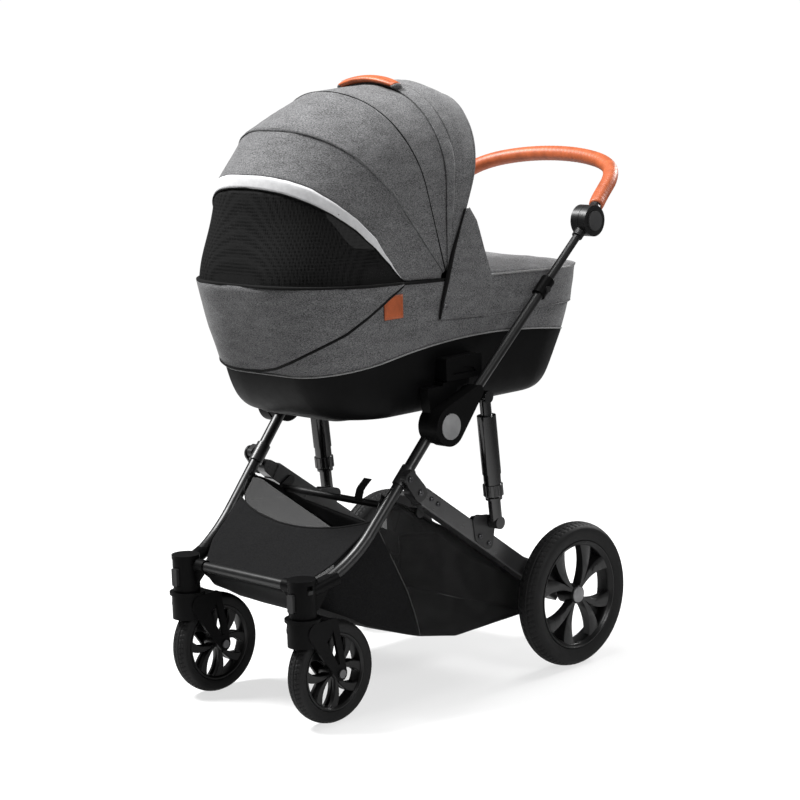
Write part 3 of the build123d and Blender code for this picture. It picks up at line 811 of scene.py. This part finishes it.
def arch_curve(reach, half):
    up = np.linspace(FOOT, SHOULDER, 40)
    t = np.linspace(0, pi / 2, 90)
    straight = np.stack([np.full_like(up, half), up], 1)
    crown = np.stack([half * np.cos(t), SHOULDER + (reach - SHOULDER) * np.sin(t)], 1)
    return curve_share(np.concatenate([straight, crown[1:]]))


def plan_curve():
    t = np.linspace(0, pi / 2, 60)
    corner = np.stack([48 + 150 * np.cos(t), 202 + 149 * np.sin(t)], 1)
    return curve_share(np.concatenate([[[198, FOOT]], corner, [[0, 351]]]))


PLAN, PLAN_SHARE = plan_curve()


def hood_point(s, a, out=0.0):
    """A point on the hood. s is -1 and 1 at the two feet and 0 at the crown; a is the rib angle."""
    points, share = arch_curve(crown_radius(a) + out, HALF + out)
    q = 1 - abs(s)
    x, r = np.interp(q, share, points[:, 0]), np.interp(q, share, points[:, 1])
    w = float(smooth(a / 30))
    x = w * x + (1 - w) * np.interp(q, PLAN_SHARE, PLAN[:, 0])
    r = w * r + (1 - w) * np.interp(q, PLAN_SHARE, PLAN[:, 1])
    return np.array([x if s >= 0 else -x, PIVOT[0] - r * cos(radians(a)), PIVOT[1] + r * sin(radians(a))])


# rib angle of the window's and the white band's upper edge at each distance from the crown
WINDOW_TOP = [(0.0, 29.8), (0.2, 29.8), (0.3, 29.3), (0.4, 28.3), (0.5, 26.0), (0.6, 21.8), (0.7, 14.5),
              (0.75, 8.0), (0.79, 2.2), (1.0, 2.0)]
BAND_TOP = [(0.0, 33.0), (0.2, 33.8), (0.3, 33.8), (0.4, 32.5), (0.5, 30.5), (0.6, 26.3), (0.7, 17.0),
            (0.75, 9.5), (0.79, 2.6), (1.0, 2.4)]


# The lines of the hood, each a rib angle at the place s along the arch.

def window_top(s):
    return read(WINDOW_TOP, abs(s))


def band_top(s):
    return read(BAND_TOP, abs(s))


def seam_one(s):
    return 49.5 + 2.5 * float(smooth(abs(s) / 0.4))


def seam_two(s):
    return 72 + 2 * float(smooth(abs(s) / 0.4))


def seam_three(s):
    return 96 + 3 * abs(s)


def visor_hem(s):
    return 116.5 - 4 * min(1, abs(s) * 3)


def hood_sheet(name, low, high, rows, body, out, sag, seed, mat="cloth", columns=111, ends=1.0,
               thickness=1.8):
    """A cloth panel between two angles, each a function of s."""
    def place(k, s):
        t = k / (rows - 1)
        a = low(s) + (high(s) - low(s)) * t
        dip = sag * sin(pi * t) * (1 - 0.4 * abs(s))
        dip += creases(hood_point(s, a, out), 1.3, 60, 0.5, 20, seed)
        return hood_point(s, a, out - dip)

    points = grid(place, range(rows), np.linspace(-ends, ends, columns))
    return sheet(name, points, mat, body, thickness, "grey_melange")


def hood_line(name, angle, out, body, radius, mat, ends=1.0):
    """A piping or binding along a line of the hood."""
    path = [hood_point(s, angle(s), out) for s in np.linspace(-ends, ends, 150)]
    return cot_pipe(name, path, radius, mat, body)


def fold_pieces(pieces):
    """Soft pieces with their modifiers baked, each with a mesh of its own."""
    for piece in pieces:
        if piece.modifiers:
            bake_modifiers(piece)
        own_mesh(piece)


def make_hood_front():
    """Window, white band and front panel, which stay on the cot as the hood folds."""
    window, area = hood_sheet("hood_mesh_window", lambda s: 0.8, window_top, 20, "carrycot", -1.0, 2.0,
                              11, "window", columns=101, ends=0.80, thickness=0.7)
    band, area = hood_sheet("hood_white_band", window_top, band_top, 6, "carrycot", 1.0, -0.6, 12, "band",
                            ends=0.79)
    front, area = hood_sheet("hood_front_panel", band_top, seam_one, 26, "carrycot", 0.6, 1.6, 13)
    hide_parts("hood_front")
    lip = hood_line("hood_window_binding", window_top, 0.6, "carrycot", 1.7, "binding", 0.79)
    piping = hood_line("hood_seam_front", lambda s: seam_one(s) - 0.4, 2.0, "carrycot", 1.0, "piping_dark")
    return front, window, band, lip, piping


def make_hood_middle():
    """The two panels between the front panel and the main rib."""
    front, area = hood_sheet("hood_middle_front_panel", lambda s: seam_one(s) - 1.2, seam_two, 24,
                             "hood_mid", 2.6, 1.2, 15)
    rear, rear_area = hood_sheet("hood_middle_rear_panel", seam_two, lambda s: 92.5, 22, "hood_mid",
                                 3.0, 1.2, 17)
    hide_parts("hood_mid")
    line = hood_line("hood_seam_middle", seam_two, 3.8, "hood_mid", 1.1, "binding")
    return front, rear, line


def make_hood_rear():
    """The panel over the main rib, and the visor behind it."""
    main, area = hood_sheet("hood_rear_panel", lambda s: 91, seam_three, 8, "hood_rear", 6.4, -0.8, 19)
    visor, visor_area = hood_sheet("hood_visor_panel", seam_three, visor_hem, 18, "hood_rear", 6.0, -1.0, 21)
    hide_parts("hood_rear")
    line = hood_line("hood_seam_rear", seam_three, 6.8, "hood_rear", 0.9, "piping_dark")
    rib_edge = hood_line("hood_rib_edge", lambda s: 91.2, 6.6, "hood_rear", 1.5, "cloth")
    hem = hood_line("hood_rear_hem", visor_hem, 5.6, "hood_rear", 2.6, "cloth")


def make_hood():
    front = make_hood_front()
    middle = make_hood_middle()
    make_hood_rear()
    fold_pieces(front)
    fold_pieces(middle)


def stitch(name, ends, radius, body):
    return pipe(name, ends, radius, "stitch", body, "tan_leather", 6)


def make_carry_handle():
    """Broad leather carry handle lying along the hood's main rib."""
    y, half, wide, flat = 374.0, 74.0, 17.0, 0.42

    def height(x):
        return 1174.5 - 12.5 * (x / half) ** 2

    steps = np.linspace(-half, half, 60)
    radii = [wide * (1 - 0.30 * abs(x / half) ** 4) + 0.3 * sin(x * 0.9) for x in steps]
    handle = pipe("carry_handle_leather", [(x, y, height(x)) for x in steps], radii, "tan_leather",
                  "hood_rear", "tan_leather", 24, squashed=flat)
    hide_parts("carry_handle")
    stitches = []
    for k in range(40):
        x = -66 + 132 * k / 39
        z = height(x) + wide * flat * 0.80
        ends = [(x - 1, y - 10, z), (x + 1, y - 10, z)]
        stitches.append(stitch(f"stitch_{k}", ends, 0.5, "hood_rear"))
    join(stitches, "carry_handle_stitching")
    for side, s in SIDES:
        tab = [(s * x, y, height(s * x) - 1.5) for x in (70, 74, 79)]
        cot_pipe(f"carry_handle_end_{side}", tab, [12.8, 13.4, 10.0], "cloth", "hood_rear", segments=20,
                 squashed=flat)


# ---- apron

APRON_HALF, APRON_FRONT, APRON_REAR, APRON_CORNER = 205.0, 436, 829, 150.0


def make_apron():
    """Foot cover: crowned top, side skirt, wind wings and the low front edge between them."""
    rows = []
    for v in np.linspace(0, 1, 34):
        y = APRON_FRONT + (APRON_REAR - APRON_FRONT) * v
        base = rim_z(y) + 4.0
        inset = 0.0
        past = y - (APRON_REAR - APRON_CORNER)
        if past > 0:
            inset = APRON_CORNER - np.sqrt(max(APRON_CORNER ** 2 - past ** 2, 0))
        row = []
        for u in np.linspace(-1, 1, 41):
            x = u * (APRON_HALF - inset)
            crown = 13.0 * (1 - u ** 4) * float(smooth((APRON_REAR - y) / 120)) ** 0.6
            crown += creases((x, y, base + crown), 3.2, 85, 1.2, 30, 31)
            row.append((x, y, base + crown))
        rows.append(row)
    top, area = cot_sheet("apron_top", rows, 3.0)
    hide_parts("apron")
    skirt, skirt_area, hem, ridge = make_skirt()
    make_front_edge()
    for name, s in SIDES:
        make_wing(name, s)


def make_skirt():
    """Side of the apron, hanging around the foot end of the cot."""
    turns = np.linspace(0.262, 0.738, 110)

    def place(k, q):
        t = k / 11
        y = cot_point(q, 760)[1]
        hem = 720.0 - 5 * float(smooth((y - 700) / 120))
        z = rim_z(y) + 3 - (rim_z(y) + 3 - hem) * t
        p = cot_point(q, z, 4.6)
        return cot_point(q, z, 4.4 + 1.2 * t + ripple(p, 1.4, 60, 33) + ripple(p, 0.6, 22, 34))

    rows = grid(place, range(12), turns)
    skirt, area = cot_sheet("apron_skirt", rows, 1.8)
    hem = cot_pipe("apron_skirt_hem", resample(rows[-1], 140), 1.7, "cloth")
    ridge = cot_pipe("apron_top_piping", resample(rows[0], 140), 2.1, "piping")
    return skirt, area, hem, ridge


def make_front_edge():
    """Low upright edge of the apron between the two wings."""
    def place(t, u):
        dip = float(smooth((abs(u) - 0.55) / 0.45))
        top = 834 + 62 * dip
        y = 452 - 16 * t - 8 * dip * t
        x = u * (APRON_HALF + 1.5)
        z = 806 + (top - 806) * t
        return x, y + ripple((x, y, z), 2.4, 60, 35), z

    rows = grid(place, np.linspace(0, 1, 8), np.linspace(-1, 1, 61))
    upright, area = cot_sheet("apron_front_edge", rows, 2.2)
    lip = cot_pipe("apron_front_piping", resample(rows[-1], 120), 1.9, "binding")


# side-view edges of a wing, from its hem up to its tip
WING_FRONT = [(334, 728), (346, 765), (360, 806), (376, 850), (394, 890), (413, 930)]
WING_REAR = [(462, 722), (478, 752), (482, 788), (466, 838), (441, 905), (423, 930)]


def step_along(line, share):
    """The place on a side-view line after a share of its steps."""
    return [float(np.interp(share * (len(line) - 1), range(len(line)), c)) for c in zip(*line)]


def make_wing(name, s):
    """Wind wing beside the hood, with its black binding and a snap."""
    def place(t, u):
        f, r = step_along(WING_FRONT, t), step_along(WING_REAR, t)
        y, z = f[0] + (r[0] - f[0]) * u, f[1] + (r[1] - f[1]) * u
        lean = 209.6 + 2.2 * sin(pi * u) * (1 - t * 0.5) - 1.2 * t
        lean += creases((s * 200, y, z), 1.1, 50, 0.4, 18, 41)
        return s * lean, y, z

    rows = grid(place, np.linspace(0, 1, 26), np.linspace(0, 1, 18))
    wing, area = cot_sheet(f"wind_wing_{name}", rows, 2.2)
    rows = np.array(rows)
    edge = resample(rows[:, 0], 60)
    wide = [1.8 + 2.4 * sin(pi * min(1, k / 50)) for k in range(60)]
    front = cot_pipe(f"wind_wing_binding_{name}", edge + [s * 0.6, -1.0, 0], wide, "binding")
    rear = cot_pipe(f"wind_wing_edge_{name}", resample(rows[:, -1], 60), 1.5, "cloth")
    bottom = cot_pipe(f"wind_wing_hem_{name}", resample(rows[0], 40), 1.4, "cloth")
    profile = [(0, 0.3), (2.6, 0.3), (3.4, 2.0), (3.2, 3.6), (2.0, 5.0), (0, 5.6)]
    snap = lathe(f"wind_wing_snap_{name}", [(s * x, r) for x, r in profile], (s * 210.4, 349, 750), 24,
                 "axle_steel", "carrycot")


def wall_place(y, z, out):
    """The point on the cot's +X wall at a side-view place."""
    turns = np.linspace(0.08, 0.42, 80)
    places = [cot_point(t, z)[1] for t in turns]
    return cot_point(float(np.interp(y, places, turns)), z, out)


def make_tag():
    """Plain leather tag at the end of the window cover."""
    low, high, front, rear = 742, 786, 190, 238
    rows = grid(lambda z, y: wall_place(y, z, 5.2), np.linspace(low, high, 9), np.linspace(front, rear, 15))
    tag, area = sheet("leather_tag", rows, "tan_leather", "carrycot", 1.8, "tan_leather")
    left, right, base, top = front + 3, rear - 3, low + 3, high - 3
    ring = resample([(left, base, 0), (right, base, 0), (right, top, 0), (left, top, 0), (left, base, 0)], 60)
    ring = [wall_place(y, z, 6.4) for y, z, _ in ring]
    stitches = [stitch(f"tag_stitch_{k}", [ring[k], ring[(k + 1) % 60]], 0.4, "carrycot")
                for k in range(0, 60, 2)]
    thread = join(stitches, "leather_tag_stitching")


# ---- mattress

# height and inset of each ring of the pad
PAD_RINGS = ((558.5, 10), (560, 3), (568, 1), (576, 3), (580, 12), (581, 40), (581.2, 80), (581.3, 120))
PAD_HALF, PAD_REACH, PAD_MIDDLE, PAD_CORNER = 150, 241, 414, 70


def make_mattress():
    """Jersey covered foam pad, softened by a short cloth simulation."""
    rows = []
    count = 96
    for level, inset in PAD_RINGS:
        corner = max(PAD_CORNER - inset, 12)
        sx, sy = PAD_HALF - inset - corner, PAD_REACH - inset - corner
        ring = []
        for k in range(count):
            a = 2 * pi * k / count
            c, s = cos(a), sin(a)
            ring.append((corner * c + sx * np.sign(c) * min(1, abs(c) * 1.8),
                         PAD_MIDDLE + corner * s + sy * np.sign(s) * min(1, abs(s) * 1.8), level))
        rows.append(ring)
    pad = loft("mattress_pad", rows, "mattress_cloth", "carrycot", 60)
    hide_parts("mattress")
    puff(pad, voxel=0.004, cap=0.004)


def puff(obj, voxel, cap):
    """Inflate a closed pad with a short cloth simulation and keep the result, moved by cap metres
    at most."""
    remesh = obj.modifiers.new("remesh", "REMESH")
    remesh.mode = "VOXEL"
    remesh.voxel_size = voxel
    bake_modifiers(obj)
    rest = np.array([v.co for v in obj.data.vertices], float)
    cloth = obj.modifiers.new("cloth", "CLOTH")
    cloth.settings.use_pressure = True
    cloth.settings.uniform_pressure_force = 4
    cloth.settings.effector_weights.gravity = 0
    for step in range(1, 15):
        bpy.context.scene.frame_set(step)
    bake_modifiers(obj)
    bpy.context.scene.frame_set(1)
    shift = np.array([v.co for v in obj.data.vertices], float) - rest
    size = np.linalg.norm(shift, axis=1)
    shift *= np.minimum(1, cap / np.maximum(size, 1e-9))[:, None]
    obj.data.vertices.foreach_set("co", (rest + shift).astype(np.float32).ravel())
    obj.data.polygons.foreach_set("use_smooth", [True] * len(obj.data.polygons))
    obj.data.update()


def bake_modifiers(obj):
    """Put the evaluated mesh in the place of mesh and modifiers."""
    dg = bpy.context.evaluated_depsgraph_get()
    mesh = bpy.data.meshes.new_from_object(obj.evaluated_get(dg))
    obj.modifiers.clear()
    obj.data = mesh


# ---- basket

# side view of the basket as (y, z), and its half width at each y
BASKET_FLOOR = [(14, 251), (60, 215), (110, 191), (150, 169), (285, 120), (385, 99), (575, 102), (610, 106)]
BASKET_TOP = [(137, 342), (176, 392), (192, 404), (215, 398), (253, 380), (330, 333), (604, 208)]
BASKET_HALF = [(0, 138), (34, 143), (74, 171), (150, 186), (230, 188), (640, 187)]
SIDE_SEAM = [(285, 120), (268, 168), (249, 214), (213, 282), (178, 348), (164, 366)]
MESH_EDGE = SIDE_SEAM[:5] + [(174, 380), (186, 402)]
BOTTOM_STEPS = 30  # points along the lower edge of a cloth side
LEG_EDGE = [(22, 246), (24, 262), (80, 303), (137, 342), (164, 366)]


def along(points, count):
    """Even steps along a side-view line."""
    return resample([(0, y, z) for y, z in points], count)[:, 1:]


def side_point(s, y, z, share, seed):
    """A point on the basket's side. share is 0 at the floor and 1 at the upper edge."""
    belly = 4 * sin(pi * share) - 9 * (1 - share) ** 4
    crease = 2.2 * sin(y / 17 + 2.4 * share) * sin(pi * share) * float(smooth((y - 250) / 120))
    x = read(BASKET_HALF, y) - 3 + 0.5 * belly + crease
    return (s * (x + ripple((s * x, y, z), 2.6, 60, seed)), y, z)


def front_side(name, s):
    """Plain cloth from the front leg back to the slanted seam."""
    count = 30
    front, rear = along(LEG_EDGE, count), along(SIDE_SEAM, count)

    def place(k, v):
        w = k / (count - 1)
        y, z = front[k] * (1 - v) + rear[k] * v
        chord = front[0][1] + (rear[0][1] - front[0][1]) * v
        z += (1 - w) ** 2 * (read(BASKET_FLOOR, y) - chord)
        return side_point(s, y, max(z, read(BASKET_FLOOR, y)), w, 51)

    rows = grid(place, range(count), np.linspace(0, 1, 26))
    return basket_sheet(f"basket_side_front_{name}", rows, 1.4)


def rear_side(name, s):
    """Mesh from the seam back to the axle, its area and its points."""
    seam = along(MESH_EDGE, 200)
    shares = [(z - read(BASKET_FLOOR, y)) / (read(BASKET_TOP, y) - read(BASKET_FLOOR, y))
              for y, z in seam]
    rows = []
    for w in np.linspace(0, 1, 26):
        start = float(np.interp(w, shares, seam[:, 0]))
        row = []
        for y in np.linspace(start, 600, 60):
            low, high = read(BASKET_FLOOR, y), read(BASKET_TOP, y)
            row.append(side_point(s, y, low + (high - low) * w, w, 52))
        rows.append(row)
    return *basket_sheet(f"basket_side_mesh_{name}", rows, 1.0, "black_mesh"), np.array(rows)


def edge_band(name, s):
    """Doubled cloth along the upper edge of the side."""
    def place(w, y):
        high = read(BASKET_TOP, y)
        low = max(415 - 0.711 * (y - 190), high - 44)
        p = side_point(s, y, low + (high - low) * w, 0.8 + 0.2 * w, 52)
        return p[0] - s * 2.2, p[1], p[2]

    rows = grid(place, np.linspace(0, 1, 6), np.linspace(192, 598, 50))
    return basket_sheet(f"basket_edge_band_{name}", rows, 1.2)


def make_basket():
    """Cloth front and floor, mesh sides, and the bound edges of the shopping basket."""
    bottoms, folding = [], []
    for name, s in SIDES:
        front, area = front_side(name, s)
        side, side_area, rows = rear_side(name, s)
        band, band_area = edge_band(name, s)
        seam = basket_pipe(f"basket_seam_{name}", rows[:, 0] + [s * 1.4, 0, 0], 1.0, "piping_dark")
        top = basket_pipe(f"basket_binding_{name}", resample(rows[-1], 60), 3.0, squashed=0.7)
        front_bottom = [side_point(s, y, read(BASKET_FLOOR, y), 0, 51)
                        for y in np.linspace(22, 280, BOTTOM_STEPS)]
        bottoms.append(np.array(front_bottom + [tuple(p) for p in rows[0]]))
        folding += [side, top, band]
    make_basket_floor("basket_floor_front", *(b[:BOTTOM_STEPS + 1] for b in bottoms))
    rear_floor = make_basket_floor("basket_floor_rear", *(b[BOTTOM_STEPS:] for b in bottoms))
    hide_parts("basket")
    make_basket_front()
    folding += [rear_floor, *make_basket_rear(bottoms[0])]
    fold_pieces(folding)
    strap = [[(96 + 10 * w, y, z) for w in (-1, -0.3, 0.3, 1)]
             for y, z in along([(214, 386), (222, 408), (243, 424)], 8)]
    loop, area = basket_sheet("basket_strap", strap, 1.6, "binding")


def make_basket_floor(name, left, right):
    """Cloth floor between two rows of points."""
    rows = []
    for a, b in zip(left, right):
        row = []
        for u in np.linspace(0, 1, 40):
            p = a + (b - a) * u
            back = float(smooth((p[1] - 60) / 130))
            drop = (5 * back - 15 * (1 - back)) * (1 - abs(2 * u - 1) ** 6)
            row.append(p + [0, 0, ripple(p, 2.0, 80, 53) * (1 - abs(2 * u - 1) ** 8) - drop])
        rows.append(row)
    base, area = basket_sheet(name, rows, 1.4)
    return base


def make_basket_front():
    """Cloth panel between the front legs, with its dipping upper edge."""
    def place(t, u):
        y, z = step_along(LEG_EDGE, t * (1 - (1 - abs(u) ** 2.4) * 0.27))
        x = u * (read(BASKET_HALF, y) - 2)
        sag = 7 * sin(pi * min(1, t * 1.02)) * (1 - u * u)
        p = (x, y + sag * 0.55, z - sag * 0.8)
        return x, p[1] + ripple(p, 1.8, 70, 55), p[2] + ripple(p, 1.2, 40, 56)

    rows = grid(place, np.linspace(0, 1, 30), np.linspace(-1, 1, 61))
    panel, area = basket_sheet("basket_front_panel", rows, 1.6)
    lip = basket_pipe("basket_front_lip", resample(rows[-1], 90), 2.4)


def make_basket_rear(left):
    """Low rear wall of the basket."""
    corner = left[-1]

    def place(t, u):
        across = 2 * u - 1
        low = corner[2] - 5 * (1 - abs(across) ** 6)
        z = low + (208 + 22 * (1 - across ** 2) - low) * t
        x = -across * (corner[0] + (182 - corner[0]) * t)
        return x, 600 + ripple((x, 600, z), 3.0, 60, 57), z

    rows = grid(place, np.linspace(0, 1, 12), np.linspace(0, 1, 40))
    wall, area = basket_sheet("basket_rear_wall", rows, 1.4)
    lip = basket_pipe("basket_rear_lip", resample(rows[-1], 60), 3.0)
    return wall, lip


# ---- leather grip

GRIP_TILT = radians(32.0)
GRIP_CURVE = [(234, 34), (223, 60), (214, 94), (205, 134), (184, 169), (150, 192), (104, 207),
              (54, 216), (0, 219)]
HUB, HANDLE_RISE, HANDLE_LENGTH = (402, 595), radians(41.0), 437


def grip_path(skip, count):
    """Centreline of the bent grip, in the plane through both angle joints, without skip mm at each
    end."""
    joint = (HUB[0] + HANDLE_LENGTH * cos(HANDLE_RISE), HUB[1] + HANDLE_LENGTH * sin(HANDLE_RISE))
    flat = GRIP_CURVE + [(-x, r) for x, r in reversed(GRIP_CURVE[:-1])]
    path = [(x, joint[0] + r * cos(GRIP_TILT), joint[1] + r * sin(GRIP_TILT)) for x, r in flat]
    dense = resample(soften(path, 3), 900)
    spacing = np.linalg.norm(dense[1] - dense[0])
    cut = int(round(skip / spacing))
    return resample(dense[cut:900 - cut], count)


def make_grip_cover():
    """Leather cover of the grip with a row of stitches on its inner side."""
    count = 220
    path = grip_path(14, count)
    radii = []
    for k in range(count):
        end = min(k, count - 1 - k)
        radii.append(15.4 - 1.6 * np.exp(-end / 1.5) + 0.12 * sin(k * 1.7))
    cover = pipe("leather_grip_cover", path, radii, "tan_leather", "grip", "tan_leather", 28)
    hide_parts("leather_grip")
    normal = np.array([0, -sin(GRIP_TILT), cos(GRIP_TILT)])
    seam = path + normal * -15.1
    stitches = []
    for k in range(2, 216, 2):
        a, b = seam[k], seam[k] * 0.35 + seam[k + 1] * 0.65
        stitches.append(stitch(f"grip_stitch_{k}", [a - normal * 0.2, b - normal * 0.2], 0.55, "grip"))
    join(stitches, "grip_cover_stitching")


# ---- small trim

RIVET_RING = [(0, 2.0), (0.8, 2.0), (1.4, 2.6), (1.4, 3.6), (0.8, 4.4), (0, 4.4)]
RIVETS = [("front_frame", 227.6, 253, 411), ("front_frame", 227.6, 227, 441),
          ("rear_frame", 223.0, 287, 392), ("rear_frame", 223.0, 304, 380),
          ("rear_frame", 225.0, 416, 297), ("rear_frame", 225.0, 441, 279)]


def make_rivets():
    """Bright rings around the rivets of the brackets and the rear beams."""
    for side, s in SIDES:
        ring = [(s * a, r) for a, r in RIVET_RING]
        for k, (body, x, y, z) in enumerate(RIVETS):
            lathe(f"rivet_ring_{side}_{k}", ring, (s * x, y, z), 20, "rivet_steel", body)


make_camera()
make_studio()
finish_cad_nodes()
for SIDE, SIGN in SIDES:
    make_rear_rim(SIDE, SIGN)
    make_front_rim(SIDE, SIGN)
make_cot_wall()
make_flap()
make_hood()
make_carry_handle()
make_apron()
make_tag()
make_mattress()
make_basket()
make_grip_cover()
make_rivets()

bpy.context.view_layer.update()
